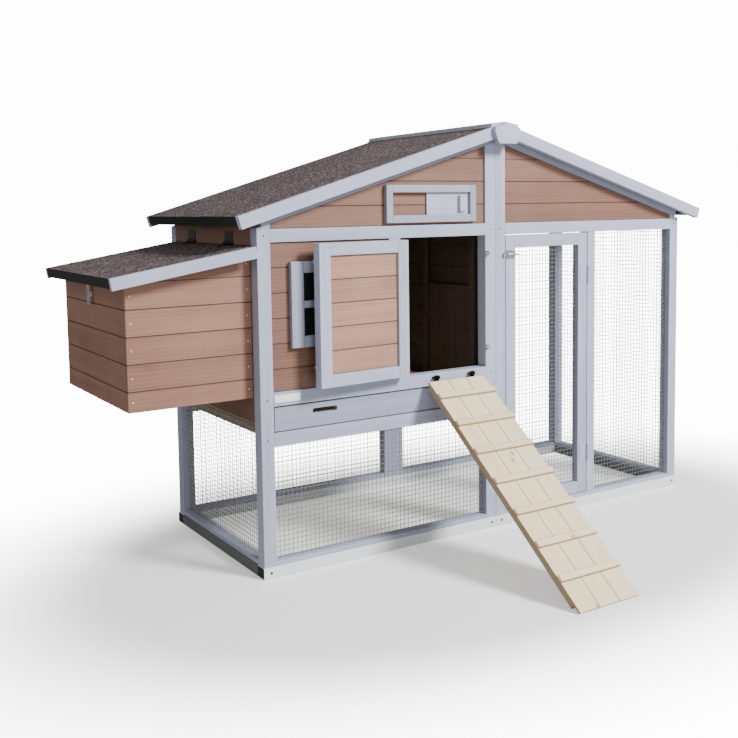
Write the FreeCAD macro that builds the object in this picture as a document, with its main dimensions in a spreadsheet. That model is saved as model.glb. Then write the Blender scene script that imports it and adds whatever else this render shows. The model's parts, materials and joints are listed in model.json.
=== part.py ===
import FreeCAD, Part
import os
import re
import Sketcher

# A timber chicken coop: a raised house with a nest box at its left end, and a wire run at its right.
# Driving sizes in millimetres and degrees. The body's front left corner on the ground is 0, 0, 0
# before the shift that puts the origin under the middle of the whole coop.
SIZES = {
    "body_length": 1500, "body_depth": 567, "house_length": 743, "post": 36, "timber": 34,
    "rail": 33, "thin_rail": 12, "base_tall": 28, "base_proud": 3, "board": 12, "recess": 6,
    "course": 63, "gable_course": 54, "mesh_thick": 1.2, "mesh_set": 17, "gap": 2, "seat": 0.3,
    "sill_top": 468, "sill_tall": 35, "doorway_tall": 372, "tray_space": 66, "tray_rail": 36,
    "doorway_left": 420, "jamb": 36,
    "ridge_top": 1150, "roof_angle": 16.75, "eave_out": 64, "deck": 10, "felt": 2.5,
    "rafter_tall": 34, "barge_tall": 33, "barge_thick": 18, "front_overhang": 35,
    "back_overhang": 31, "eave_batten": 12, "cap_half": 48, "cap_side": 11, "cap_rise": 4,
    "plate_thick": 14, "plate_half": 45, "plate_foot": 32, "plate_tall": 58, "plate_side": 13,
    "wall_bottom": 391, "nest_reach": 320, "nest_front": 38, "nest_deep": 492, "nest_bottom": 453,
    "nest_hole_wide": 190, "nest_course": 64, "nest_first": 49,
    "lid_top": 833, "lid_angle": 9.4, "lid_reach": 368, "lid_front": 49, "lid_back": 15,
    "fascia_tall": 29, "fascia_thick": 12, "lid_batten": 20,
    "coop_leaf_wide": 282, "coop_leaf_tall": 362, "coop_leaf_thick": 26, "coop_leaf_lift": 6,
    "coop_open_angle": 175.5, "door_stile": 34, "door_rail": 32, "panel_set": 7,
    "run_leaf_wide": 318, "run_leaf_tall": 796, "run_leaf_thick": 24, "run_stile": 36,
    "door_post_wide": 31, "door_post_gap": 2.5, "run_leaf_lift": 2,
    "hinge_long": 50, "knuckle_r": 3.5, "pin_r": 1.8, "pin_clear": 0.06, "leaf_plate": 1.5,
    "leaf_wide": 30, "hinge_stand": 4, "lid_knuckle_up": 0.6, "lid_leaf_up": 0.4,
    "bolt_r": 2.5, "bolt_clear": 0.06, "barrel_r": 4, "barrel_long": 7, "bolt_stand": 5.5,
    "bolt_plate": 32, "bolt_plate_tall": 24, "bolt_back": 2, "bolt_long": 44, "bolt_knob_at": 23,
    "bolt_knob_long": 9, "keeper_wide": 6, "keeper_tall": 12, "keeper_clear": 0.6,
    "bolt_upper": 790, "bolt_lower": 525, "run_bolt": 783,
    "window_left": 88, "window_wide": 222, "window_bottom": 575, "window_tall": 216,
    "window_stile": 35, "window_rail": 29, "window_bar": 18, "frame_proud": 14, "pane_lap": 11,
    "pane_thick": 2.5,
    "vent_left": 373, "vent_wide": 296, "vent_bottom": 880, "vent_tall": 100, "vent_bar": 20,
    "slider_wide": 142, "slider_thick": 5, "slider_knob_wide": 19, "slider_knob_tall": 44,
    "slider_knob_out": 9, "groove": 3,
    "pop_front": 72, "pop_wide": 208, "pop_lap": 10,
    "pop_thick": 8, "guide_wide": 20, "guide_deep": 16, "rod_r": 3, "rod_long": 150,
    "tray_back": 43, "tray_front_thick": 16, "tray_floor": 4, "tray_wall": 8, "tray_wall_tall": 40,
    "slot_left": 145, "slot_long": 73, "slot_tall": 13, "runner_wide": 24, "runner_tall": 22,
    "ramp_left": 495, "ramp_wide": 190, "ramp_angle": 37.6, "ramp_top": 449, "ramp_out": 18,
    "ramp_long": 728, "ramp_boards": 3, "ramp_thick": 6, "batten_count": 7, "batten_first": 67,
    "batten_pitch": 97, "batten_wide": 19, "batten_thick": 8, "stringer_wide": 20,
    "stringer_deep": 18, "stringer_in": 5, "stringer_long": 700, "ramp_eye_r": 2.5,
    "ramp_eye_out": 8, "ramp_eye_up": 456, "ramp_hook_wide": 14, "ramp_hook_in": 27,
    "ramp_hook_thick": 2, "ramp_hook_tail": 40,
    "label_left": 36, "label_wide": 74, "label_tall": 19, "label_bottom": 442, "label_thick": 1.5,
    "hasp_wide": 18, "hasp_long": 66, "hasp_out": 8.5, "hasp_slot_wide": 8, "hasp_slot_tall": 18,
    "hasp_drop": 22, "staple_out": 9, "ear_thick": 2,
}

doc = FreeCAD.newDocument("ChickenCoop")
sheet = doc.addObject("Spreadsheet::Sheet", "Sizes")
for row, (alias, number) in enumerate(SIZES.items(), start=1):
    sheet.set(f"A{row}", alias)
    sheet.set(f"B{row}", str(number))
    sheet.setAlias(f"B{row}", alias)
doc.recompute()

# Places worked out from the driving sizes.
POST_IN = "(body_length - post)"
BACK_IN = "(body_depth - post)"
SILL_BOTTOM = "(sill_top - sill_tall)"
TRAY_RAIL_TOP = f"({SILL_BOTTOM} - tray_space)"
TRAY_RAIL_BOTTOM = f"({TRAY_RAIL_TOP} - tray_rail)"
HEADER_BOTTOM = "(sill_top + doorway_tall)"
HEADER_TOP = f"({HEADER_BOTTOM} + rail)"
RAIL_TOP = "(base_tall + thin_rail)"
HOUSE_POST = "(house_length - post)"
RUN_IN = "(house_length + post)"
RIDGE_X = "(body_length / 2)"
ROOF_BACK = "(body_depth + back_overhang)"
RUN_LEAF_LEFT = f"({RUN_IN} + gap)"
RUN_LEAF_RIGHT = f"({RUN_LEAF_LEFT} + run_leaf_wide)"
DOOR_POST_LEFT = f"({RUN_LEAF_RIGHT} + door_post_gap)"
DOOR_POST_RIGHT = f"({DOOR_POST_LEFT} + door_post_wide)"
PARTITION_X = "(house_length - post / 2 - board / 2)"
ROOF_SKIN = "(deck + felt)"
NEST_HOLE_BOTTOM = "(wall_bottom + course * 2)"
NEST_HOLE_TALL = "(course * 3)"
POP_BOTTOM = f"({TRAY_RAIL_TOP} + course)"
POP_TALL = "(course * 4)"
TRAY_DEEP = "(body_depth - tray_back)"
RAMP_FOOT = "(ramp_out + ramp_long * cos(ramp_angle))"
SHIFT_X = f"((lid_reach - body_length - eave_out) / 2)"
SHIFT_Y = f"(({RAMP_FOOT} - {ROOF_BACK} - plate_thick) / 2)"
ALONG_X = FreeCAD.Vector(1, 0, 0)
ALONG_Y = FreeCAD.Vector(0, 1, 0)
ALONG_Z = FreeCAD.Vector(0, 0, 1)

parts = []  # the coop's sub-parts, in the order they are made


def bound(words):
    """A size or place in plain alias words, as an expression that reads the sheet."""
    return re.sub(r"[a-z_]+", lambda m: "Sizes." + m.group(0) if m.group(0) in SIZES else m.group(0),
                  str(words))


def place(thing, x, y, z, shifted=True):
    """Bind an object's place; shifted ones stand in the whole coop's frame."""
    thing.setExpression("Placement.Base.x", bound(f"{x} + {SHIFT_X}" if shifted else x))
    thing.setExpression("Placement.Base.y", bound(f"{y} + {SHIFT_Y}" if shifted else y))
    thing.setExpression("Placement.Base.z", bound(z))


def turn(thing, axis, angle):
    """Bind an object's turn about an axis through its own corner."""
    thing.Placement.Rotation = FreeCAD.Rotation(axis, 1)
    thing.setExpression("Placement.Rotation.Angle", bound(angle))


def box(x, y, z, long, deep, tall, shifted=True):
    """A box from its low corner and three sizes."""
    piece = doc.addObject("Part::Box", "Block")
    piece.setExpression("Length", bound(long))
    piece.setExpression("Width", bound(deep))
    piece.setExpression("Height", bound(tall))
    place(piece, x, y, z, shifted)
    return piece


def rod(x, y, z, radius, long, axis="z", shifted=True):
    """A round bar that starts at a point and runs along x, y or z."""
    piece = doc.addObject("Part::Cylinder", "Round")
    piece.setExpression("Radius", bound(radius))
    piece.setExpression("Height", bound(long))
    if axis == "x":
        piece.Placement.Rotation = FreeCAD.Rotation(ALONG_Y, 90)
    if axis == "y":
        piece.Placement.Rotation = FreeCAD.Rotation(ALONG_X, -90)
    place(piece, x, y, z, shifted)
    return piece


def several(pieces):
    """Separate pieces kept together."""
    group = doc.addObject("Part::Compound", "Group")
    group.Links = pieces
    return group


def joined(pieces):
    """Pieces made as one solid."""
    solid = doc.addObject("Part::MultiFuse", "Joined")
    solid.Shapes = pieces
    return solid


def cut(base, *tools):
    """A piece with tools taken away from it, one after another."""
    for tool in tools:
        step = doc.addObject("Part::Cut", "Trimmed")
        step.Base = base
        step.Tool = tool
        base = step
    return base


def kept(base, tool):
    """What of a piece lies inside the tool."""
    step = doc.addObject("Part::Common", "Inside")
    step.Base = base
    step.Tool = tool
    return step


def part(name, *pieces):
    """Name a finished sub-part; several pieces stay separate solids of it."""
    whole = pieces[0] if len(pieces) == 1 else several(list(pieces))
    whole.Label = name
    parts.append(whole)
    return whole


def prism(points, depth, plane="XZ_Plane"):
    """A padded outline: each corner is an x and a y in alias words, measured from the sketch's own zero."""
    body = doc.addObject("PartDesign::Body", "Outline")
    sketch = body.newObject("Sketcher::SketchObject", "Corners")
    face = [item for item in body.Origin.OriginFeatures if item.Role == plane][0]
    sketch.AttachmentSupport = [(face, "")]
    sketch.MapMode = "FlatFace"
    count = len(points)
    rough = [FreeCAD.Vector(10.0 * (n + 1), 7.0 * (n + 1) * (n % 3 + 1), 0) for n in range(count)]
    for n in range(count):
        sketch.addGeometry(Part.LineSegment(rough[n], rough[(n + 1) % count]), False)
    for n in range(count):
        sketch.addConstraint(Sketcher.Constraint("Coincident", n, 2, (n + 1) % count, 1))
    for n, (across, up) in enumerate(points):
        for kind, words, axis in (("DistanceX", across, -2), ("DistanceY", up, -1)):
            if words == "0":
                sketch.addConstraint(Sketcher.Constraint("PointOnObject", n, 1, axis))
                continue
            index = sketch.addConstraint(Sketcher.Constraint(kind, -1, 1, n, 1, 5.0 + n))
            sketch.setExpression(f"Constraints[{index}]", bound(words))
    pad = body.newObject("PartDesign::Pad", "Depth")
    pad.Profile = sketch
    pad.setExpression("Length", bound(depth))
    return body


# The two slopes of the roof. A slope box lies under the roof line by `down`, is `thick` through, and
# reaches `run` down the slope from the ridge, where the half of the coop it belongs to trims it.
REACH = f"(({RIDGE_X} + eave_out) / cos(roof_angle))"
far = "(body_length * 2)"
half = {
    "left": box(f"{RIDGE_X} - {far}", "-body_depth", "0", far, "body_depth * 3", "ridge_top * 2"),
    "right": box(RIDGE_X, "-body_depth", "0", far, "body_depth * 3", "ridge_top * 2"),
}


def slope_box(side, down, thick, y, deep, start="-ridge_top / 4", run=REACH):
    """A board on one slope of the roof, from `start` to `run` along the slope, cut plumb at the ridge."""
    under = f"({down} + {thick})"
    first = f"({start})" if side == "right" else f"(-{run})"
    sign = 1 if side == "right" else -1
    x = f"{RIDGE_X} + {first} * cos(roof_angle) - ({sign}) * {under} * sin(roof_angle)"
    z = f"ridge_top - ({sign}) * {first} * sin(roof_angle) - {under} * cos(roof_angle)"
    piece = box(x, y, z, f"{run} - ({start})", deep, thick)
    turn(piece, ALONG_Y * sign, "roof_angle")
    return kept(piece, half[side])


WHOLE_Y = "-body_depth"
WHOLE_DEEP = "body_depth * 3"
TRIM = "(ridge_top / 2)"
over_deck = [slope_box(side, f"{ROOF_SKIN} - {TRIM}", TRIM, WHOLE_Y, WHOLE_DEEP) for side in half]
over_rafter = [slope_box(side, f"{ROOF_SKIN} + rafter_tall - {TRIM}", TRIM, WHOLE_Y, WHOLE_DEEP)
               for side in half]


def make_base():
    """Pale ground strips: front and back in two lengths each, and one across each end."""
    wide = "(timber + base_proud)"
    long_strips = []
    for y in ("-base_proud", "body_depth - timber"):
        long_strips.append(box("-base_proud", y, 0, "house_length + base_proud", wide, "base_tall"))
        long_strips.append(box("house_length", y, 0, "body_length - house_length + base_proud", wide,
                               "base_tall"))
    part("base_strips_long", *long_strips)
    ends = [box(x, "timber", 0, wide, "body_depth - 2 * timber", "base_tall")
            for x in ("-base_proud", "body_length - timber")]
    part("base_strips_ends", *ends)


def tall_post(x, y, wide="post"):
    """An upright from the ground strip to the underside of the rafters."""
    return cut(box(x, y, "base_tall", wide, "post", "ridge_top"), *over_rafter)


def make_posts():
    """Corner, centre and door posts; the two halves of the coop stand side by side at the middle."""
    part("front_corner_posts", tall_post("0", "0"), tall_post(POST_IN, "0"))
    part("front_centre_posts", tall_post(HOUSE_POST, "0"), tall_post("house_length", "0"))
    part("back_posts", *[tall_post(x, BACK_IN) for x in ("0", HOUSE_POST, "house_length", POST_IN)])
    part("run_door_post", box(DOOR_POST_LEFT, "0", RAIL_TOP, "door_post_wide", "timber",
                              f"{HEADER_BOTTOM} - {RAIL_TOP}"))
    part("doorway_jamb", box("doorway_left - jamb", "0", "sill_top", "jamb", "timber", "doorway_tall"))


def make_rails():
    """Rails between the posts on all four sides."""
    inner = f"({HOUSE_POST} - post)"
    run = f"({POST_IN} - {RUN_IN})"
    front = [
        box("post", "0", "base_tall", inner, "timber", "thin_rail"),
        box("post", "0", TRAY_RAIL_BOTTOM, inner, "timber", "tray_rail"),
        box("post", "0", SILL_BOTTOM, inner, "timber", "sill_tall"),
        box("post", "0", HEADER_BOTTOM, inner, "timber", "rail"),
    ]
    part("house_front_rails", *front)
    part("run_front_rails", box(RUN_IN, "0", "base_tall", run, "timber", "thin_rail"),
         box(RUN_IN, "0", HEADER_BOTTOM, run, "timber", "rail"))
    back_y = "(body_depth - timber)"
    back = [box("post", back_y, z, inner, "timber", tall) for z, tall in
            (("base_tall", "thin_rail"), (TRAY_RAIL_BOTTOM, "tray_rail"), (HEADER_BOTTOM, "rail"))]
    back += [box(RUN_IN, back_y, z, run, "timber", tall) for z, tall in
             (("base_tall", "thin_rail"), (HEADER_BOTTOM, "rail"))]
    part("back_rails", *back)
    between = f"({BACK_IN} - post)"
    ends = [
        box("0", "post", "base_tall", "timber", between, "thin_rail"),
        box("board", "post", "wall_bottom", "timber - board", between, "rail"),
        cut(box("board", "post", HEADER_TOP, "timber - board", between, "rail * 3"), *over_deck),
        box("body_length - timber", "post", "base_tall", "timber", between, "thin_rail"),
        cut(box("body_length - timber", "post", HEADER_TOP, "timber", between, "rail * 3"), *over_deck),
    ]
    part("end_rails", *ends)


def make_roof():
    """Rafters on the end walls, decks, mineral felt, bargeboards, ridge cap and its end plates."""
    slope_in = f"({RIDGE_X} / cos(roof_angle))"
    ends_y = ("0", "body_depth - timber")
    part("roof_rafters", *[slope_box(side, ROOF_SKIN, "rafter_tall", y, "timber", run=slope_in)
                           for side in half for y in ends_y])
    front = "(barge_thick - front_overhang)"
    deep = f"({ROOF_BACK} - barge_thick - {front})"
    fold = "(deck + eave_batten)"
    decks = []
    for side in half:
        decks.append(slope_box(side, "felt", "deck", front, deep, run=f"({REACH} - felt)"))
        decks.append(slope_box(side, ROOF_SKIN, "eave_batten", front, deep,
                               start=f"{REACH} - felt - barge_thick", run=f"({REACH} - felt)"))
    part("roof_decks", *decks)
    sheets = []
    for side in half:
        sheets.append(slope_box(side, "0", "felt", front, deep))
        sheets.append(slope_box(side, "felt", fold, front, deep, start=f"{REACH} - felt"))
    part("roof_felt", joined(sheets[:2]), joined(sheets[2:]))
    part("bargeboards", *[slope_box(side, "0", "barge_tall", y, "barge_thick")
                          for side in half for y in ("-front_overhang", f"{ROOF_BACK} - barge_thick")])
    make_ridge()


def make_ridge():
    """The cap over both slopes, and the plate that closes it at each end."""
    drop = "(cap_half * tan(roof_angle))"
    cap = prism([("0", "0"), ("cap_half", drop), ("2 * cap_half", "0"), ("2 * cap_half", "cap_side"),
                 ("cap_half", "cap_side + cap_rise + cap_side / 3"), ("0", "cap_side")],
                f"{ROOF_BACK} + front_overhang")
    place(cap, f"{RIDGE_X} - cap_half", ROOF_BACK, f"ridge_top - {drop} + seat")
    part("ridge_cap", cap)
    inset = "(plate_half - plate_foot)"
    shoulder = "(plate_half * tan(roof_angle))"
    plates = []
    for y in ("-front_overhang", f"{ROOF_BACK} + plate_thick"):
        outline = [(inset, "0"), ("2 * plate_half - " + inset, "0"),
                   ("2 * plate_half", f"plate_tall - {shoulder} - plate_side"),
                   ("2 * plate_half", f"plate_tall - {shoulder}"), ("plate_half", "plate_tall"),
                   ("0", f"plate_tall - {shoulder}"), ("0", f"plate_tall - {shoulder} - plate_side")]
        plate = prism(outline, "plate_thick")
        place(plate, f"{RIDGE_X} - plate_half", y, "ridge_top - plate_tall")
        plates.append(plate)
    part("ridge_end_plates", *plates)


def courses(x, y, z, long, deep, first, count, each="course"):
    """Boards one above another from the bottom up, the lowest of its own height."""
    rows = [box(x, y, z, long, deep, first)]
    rows += [box(x, y, f"{z} + {first} + {each} * {n}", long, deep, each) for n in range(count - 1)]
    return several(rows)


def hung_courses(x, y, low, long, deep, count):
    """Boards laid from the header down to `low`, where the last of them is trimmed."""
    rows = [box(x, y, f"{HEADER_BOTTOM} - course * {n + 1}", long, deep, "course") for n in range(count)]
    return kept(several(rows), box(x, y, low, long, deep, f"{HEADER_BOTTOM} - {low}"))


def make_walls():
    """Boarded walls and gables of the house and the run, with their openings."""
    front = hung_courses("post", "recess", "sill_top", "doorway_left - jamb - post", "board", 8)
    pane = box("window_left + window_stile - pane_lap - seat", "0", f"{HEADER_BOTTOM} - course * 4",
               "window_wide - 2 * window_stile + 2 * pane_lap + 2 * seat", "timber", "course * 3")
    part("front_wall_boards", cut(front, pane))
    house_gable = courses("post", "recess", HEADER_TOP, f"{HOUSE_POST} - post", "board", "gable_course", 5)
    run_gable = courses(RUN_IN, "recess", HEADER_TOP, f"{POST_IN} - {RUN_IN}", "board", "gable_course", 5)
    hole = box("vent_left + vent_wide - vent_bar - slider_wide + groove * 4", "0",
               "vent_bottom + vent_bar + groove * 3", "slider_wide - groove * 8", "timber",
               "vent_tall - 2 * vent_bar - groove * 6")
    part("front_gable_boards", cut(house_gable, hole, *over_rafter), cut(run_gable, *over_rafter))
    left = courses("0", "post", "wall_bottom", "board", f"{BACK_IN} - post", "course", 11)
    part("left_wall_boards", cut(left, *nest_holes(), *over_deck))
    back_y = "(body_depth - recess - board)"
    back = hung_courses("post", back_y, TRAY_RAIL_TOP, f"{HOUSE_POST} - post", "board", 10)
    gables = [courses(x, back_y, HEADER_TOP, wide, "board", "gable_course", 5) for x, wide in
              (("post", f"{HOUSE_POST} - post"), (RUN_IN, f"{POST_IN} - {RUN_IN}"))]
    part("back_wall_boards", back, *[cut(gable, *over_rafter) for gable in gables])


def nest_holes():
    """The two ways through the left wall into the nest box."""
    apart = "(nest_deep / 2)"
    side = f"(({apart} - nest_hole_wide) / 2)"
    return [box("-post", f"nest_front + {side} + {apart} * {n}", NEST_HOLE_BOTTOM, "post * 2",
                "nest_hole_wide", NEST_HOLE_TALL) for n in range(2)]


def make_partition():
    """The wall between house and run, with its pop hole, guides and the door that slides in them."""
    boards = courses(PARTITION_X, "post", TRAY_RAIL_TOP, "board", f"{BACK_IN} - post", "course", 15)
    hole = box("house_length - post", "pop_front", POP_BOTTOM, "post", "pop_wide", POP_TALL)
    part("partition_boards", cut(boards, hole, *over_deck))
    panel_x = f"({PARTITION_X} - seat - pop_thick)"
    low = f"({POP_BOTTOM} - pop_lap)"
    first = "(pop_front - pop_lap - guide_wide / 2)"
    last = "(pop_front + pop_wide + pop_lap - guide_wide / 2)"
    strips = []
    for y, inner_y in ((first, first), (last, f"({last} + guide_wide / 2 + seat)")):
        strips.append(box(f"{PARTITION_X} - guide_deep", y, low, "guide_deep - pop_thick - 2 * seat",
                          "guide_wide", f"{POP_TALL} * 2 + pop_lap"))
        strips.append(box(f"{panel_x} - seat", inner_y, low, "pop_thick + 2 * seat",
                          "guide_wide / 2 - seat", f"{POP_TALL} * 2 + pop_lap"))
    stop = box(f"{PARTITION_X} - guide_deep", first, f"{low} - guide_wide", "guide_deep",
               "pop_wide + 2 * pop_lap + guide_wide", "guide_wide")
    part("pop_door_guides", *strips, stop)
    panel = box(panel_x, "pop_front - pop_lap", f"{low} + seat", "pop_thick", "pop_wide + 2 * pop_lap",
                f"{POP_TALL} + 2 * pop_lap")
    pull = rod(f"{panel_x} + pop_thick / 2", "pop_front", f"{low} + seat + {POP_TALL} + 2 * pop_lap",
               "rod_r", "rod_long")
    part("pop_door", panel, pull)


def make_meshes():
    """Welded wire panels, each a flat sheet held between its posts and rails."""
    y_front = "mesh_set"
    y_back = "(body_depth - mesh_set - mesh_thick)"
    inner = f"({HOUSE_POST} - post)"
    low = f"({TRAY_RAIL_BOTTOM} - {RAIL_TOP})"
    tall = f"({HEADER_BOTTOM} - {RAIL_TOP})"
    between = f"({BACK_IN} - post)"
    part("house_mesh", box("post", y_front, RAIL_TOP, inner, "mesh_thick", low),
         box("post", y_back, RAIL_TOP, inner, "mesh_thick", low),
         box("mesh_set", "post", RAIL_TOP, "mesh_thick", between, f"wall_bottom - {RAIL_TOP}"))
    part("run_mesh",
         box(DOOR_POST_RIGHT, y_front, RAIL_TOP, f"{POST_IN} - {DOOR_POST_RIGHT}", "mesh_thick", tall),
         box(RUN_IN, y_back, RAIL_TOP, f"{POST_IN} - {RUN_IN}", "mesh_thick", tall),
         box("body_length - mesh_set - mesh_thick", "post", RAIL_TOP, "mesh_thick", between,
             f"{HEADER_TOP} - {RAIL_TOP}"))


def make_window():
    """A barred window frame on the front wall, with a clear pane behind it."""
    across = "(window_wide - 2 * window_stile)"
    up = "(window_tall - 2 * window_rail)"
    y = "(recess - frame_proud)"
    sight_x = "(window_left + window_stile)"
    sight_z = "(window_bottom + window_rail)"
    bars = [box(x, y, "window_bottom", "window_stile", "frame_proud", "window_tall")
            for x in ("window_left", "window_left + window_wide - window_stile")]
    bars += [box(sight_x, y, z, across, "frame_proud", "window_rail")
             for z in ("window_bottom", "window_bottom + window_tall - window_rail")]
    bars.append(box(f"{sight_x} + ({across} - window_bar) / 2", y, sight_z, "window_bar", "frame_proud",
                    up))
    half_bar = f"(({across} - window_bar) / 2)"
    bars += [box(x, y, f"{sight_z} + ({up} - window_bar) / 2", half_bar, "frame_proud", "window_bar")
             for x in (sight_x, f"{sight_x} + {half_bar} + window_bar")]
    part("window_frame", *bars)
    part("window_pane", box(f"{sight_x} - pane_lap", "recess", f"{sight_z} - pane_lap",
                            f"{across} + 2 * pane_lap", "pane_thick", f"{up} + 2 * pane_lap"))


def make_vent():
    """The gable vent: a frame whose rails are grooved for a plate that slides across the vent hole."""
    y = "(recess - frame_proud)"
    bars = [box(x, y, "vent_bottom", "vent_bar", "frame_proud", "vent_tall")
            for x in ("vent_left", "vent_left + vent_wide - vent_bar")]
    bars += [box("vent_left + vent_bar", y, z, "vent_wide - 2 * vent_bar", "frame_proud", "vent_bar")
             for z in ("vent_bottom", "vent_bottom + vent_tall - vent_bar")]
    slider_y = "(recess - seat - slider_thick)"
    plate_z = "(vent_bottom + vent_bar - groove)"
    groove = box("vent_left + vent_bar", f"{slider_y} - seat", f"{plate_z} - seat",
                 "vent_wide - 2 * vent_bar", "slider_thick + 2 * seat",
                 "vent_tall - 2 * vent_bar + 2 * groove + 2 * seat")
    part("vent_frame", *[cut(bar, groove) for bar in bars])
    right = "(vent_left + vent_wide - vent_bar - seat)"
    plate = box(f"{right} - slider_wide", slider_y, plate_z, "slider_wide", "slider_thick",
                "vent_tall - 2 * vent_bar + 2 * groove")
    knob = box(f"{right} - slider_wide / 4", f"{slider_y} - slider_knob_out",
               "vent_bottom + vent_tall / 2 - slider_knob_tall / 2", "slider_knob_wide",
               "slider_knob_out", "slider_knob_tall")
    part("vent_slider", joined([plate, knob]))


def make_nest():
    """The nest box: floor, boarded front, back and outer end, and the divider between the two nests."""
    outer = "(-nest_reach)"
    back = "(nest_front + nest_deep)"
    lid_zone = box("0", "-body_depth", "0", "lid_reach + timber * 3", "body_depth * 3", "lid_top")
    under = "(deck + felt + seat)"
    lid_zone.setExpression("Placement.Base.x", bound(
        f"-(lid_reach + timber) * cos(lid_angle) + {under} * sin(lid_angle) + {SHIFT_X}"))
    lid_zone.setExpression("Placement.Base.z", bound(
        f"lid_top - (lid_reach + timber) * sin(lid_angle) - {under} * cos(lid_angle)"))
    turn(lid_zone, ALONG_Y * -1, "lid_angle")
    part("nest_floor", box(f"{outer} + board", "nest_front + board", "nest_bottom",
                           "nest_reach - board", "nest_deep - 2 * board", "board"))
    sides = [courses(outer, y, "nest_bottom", "nest_reach", "board", "nest_first", 7, "nest_course")
             for y in ("nest_front", f"{back} - board")]
    end = courses(outer, "nest_front + board", "nest_bottom", "board", "nest_deep - 2 * board",
                  "nest_first", 7, "nest_course")
    part("nest_boards", *[cut(wall, lid_zone) for wall in sides + [end]])
    divider_tall = f"{NEST_HOLE_BOTTOM} + {NEST_HOLE_TALL} - nest_bottom - board"
    divider = box(f"{outer} + board", "nest_front + nest_deep / 2 - board / 2", "nest_bottom + board",
                  "nest_reach - board", "board", divider_tall)
    part("nest_divider", cut(divider, lid_zone))


def make_lid():
    """The felted nest lid, hinged at the wall, with a fascia at each end and a hasp at its outer edge."""
    front = "(nest_front - lid_front)"
    deep = "(nest_deep + lid_front + lid_back)"
    inner_y = f"({front} + fascia_thick)"
    inner_deep = f"({deep} - 2 * fascia_thick)"
    near = "(fascia_tall * tan(lid_angle) + gap)"  # the lid stops this far short of the wall
    long = f"(lid_reach / cos(lid_angle) - {near})"
    start = f"(-({long} + {near}))"
    deck_board = box(f"{start} + felt", inner_y, "-(deck + felt)", f"{long} - felt", inner_deep, "deck",
                     False)
    batten = box(f"{start} + felt", inner_y, "-(deck + felt + eave_batten)", "lid_batten",
                 inner_deep, "eave_batten", False)
    lid_part("nest_lid_deck", deck_board, batten)
    sheet_top = box(start, inner_y, "-felt", long, inner_deep, "felt", False)
    fold = box(start, inner_y, "-(deck + felt + eave_batten)", "felt", inner_deep,
               "deck + eave_batten", False)
    lid_part("nest_lid_felt", joined([sheet_top, fold]))
    lid_part("nest_lid_fascias", *[box(start, y, "-fascia_tall", long, "fascia_thick", "fascia_tall", False)
                                   for y in (front, f"{front} + {deep} - fascia_thick")])


def lid_part(name, *pieces):
    """A piece of the lid, made level from the hinge edge and tipped down to the lid's slope."""
    whole = several(list(pieces))
    turn(whole, ALONG_Y * -1, "lid_angle")
    place(whole, "0", "0", "lid_top")
    part(name, whole)


def make_coop_door():
    """The house door, made shut and swung open about its hinge pins."""
    x = "gap / 2"
    y = "hinge_stand"
    right = f"({x} + coop_leaf_wide)"
    across = "(coop_leaf_wide - 2 * door_stile)"
    up = "(coop_leaf_tall - 2 * door_rail)"
    frame = [box(at, y, "0", "door_stile", "coop_leaf_thick", "coop_leaf_tall", False)
             for at in (x, f"{right} - door_stile")]
    frame += [box(f"{x} + door_stile", y, z, across, "coop_leaf_thick", "door_rail", False)
              for z in ("0", "coop_leaf_tall - door_rail")]
    swung_part("coop_door_frame", *frame)
    rows = [box(f"{x} + door_stile", f"{y} + panel_set", f"door_rail + {up} / 5 * {n}", across, "board",
                f"{up} / 5", False) for n in range(5)]
    swung_part("coop_door_boards", *rows)
    housings = []
    for height in ("bolt_upper", "bolt_lower"):
        at = f"({height} - sill_top - coop_leaf_lift)"
        housings.append(bolt_housing(right, y, at, 1))
        name = "coop_" + "_".join(reversed(height.split("_")))
        swung_part(name, bolt_rod(right, y, at, 1))
    swung_part("coop_bolt_housings", *housings)


def swung_part(name, *pieces):
    """A piece of the house door, turned with it about the pins."""
    whole = several(list(pieces))
    turn(whole, ALONG_Z * -1, "coop_open_angle")
    place(whole, "doorway_left + gap / 2", "-hinge_stand", "sill_top + coop_leaf_lift")
    part(name, whole)


def bolt_housing(edge, y, z, way, shifted=False):
    """A plate on a door's face with two barrels for the bolt; way is 1 or -1 along x to the door's edge."""
    axis_y = f"{y} - bolt_stand"
    plate = box(from_edge(edge, "bolt_back / 2", "bolt_plate", way), f"{y} - leaf_plate",
                f"{z} - bolt_plate_tall / 2", "bolt_plate", "leaf_plate", "bolt_plate_tall", shifted)
    solids = [plate]
    bores = []
    for back in ("bolt_back", "bolt_plate - barrel_long"):
        x = from_edge(edge, back, "barrel_long", way)
        solids.append(rod(x, axis_y, z, "barrel_r", "barrel_long", "x", shifted))
        solids.append(box(x, axis_y, f"{z} - barrel_r", "barrel_long", "bolt_stand - leaf_plate",
                          "barrel_r * 2", shifted))
        bores.append(rod(f"{x} - 1", axis_y, z, "bolt_r + bolt_clear", "barrel_long + 2", "x", shifted))
    return cut(joined(solids), *bores)


def from_edge(edge, back, long, way):
    """The low x of something that lies `back` in from a door's edge and is `long`."""
    return f"({edge} - ({back}) - {long})" if way == 1 else f"({edge} + {back})"


def bolt_rod(edge, y, z, way, shifted=False):
    """The sliding bolt, drawn back, with its knob."""
    axis_y = f"{y} - bolt_stand"
    shaft = rod(from_edge(edge, "bolt_back", "bolt_long", way), axis_y, z, "bolt_r", "bolt_long", "x",
                shifted)
    knob = rod(from_edge(edge, "bolt_knob_at", "0", way), f"{axis_y} - bolt_knob_long", z, "bolt_r * 0.8",
               "bolt_knob_long", "y", shifted)
    return joined([shaft, knob])


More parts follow.
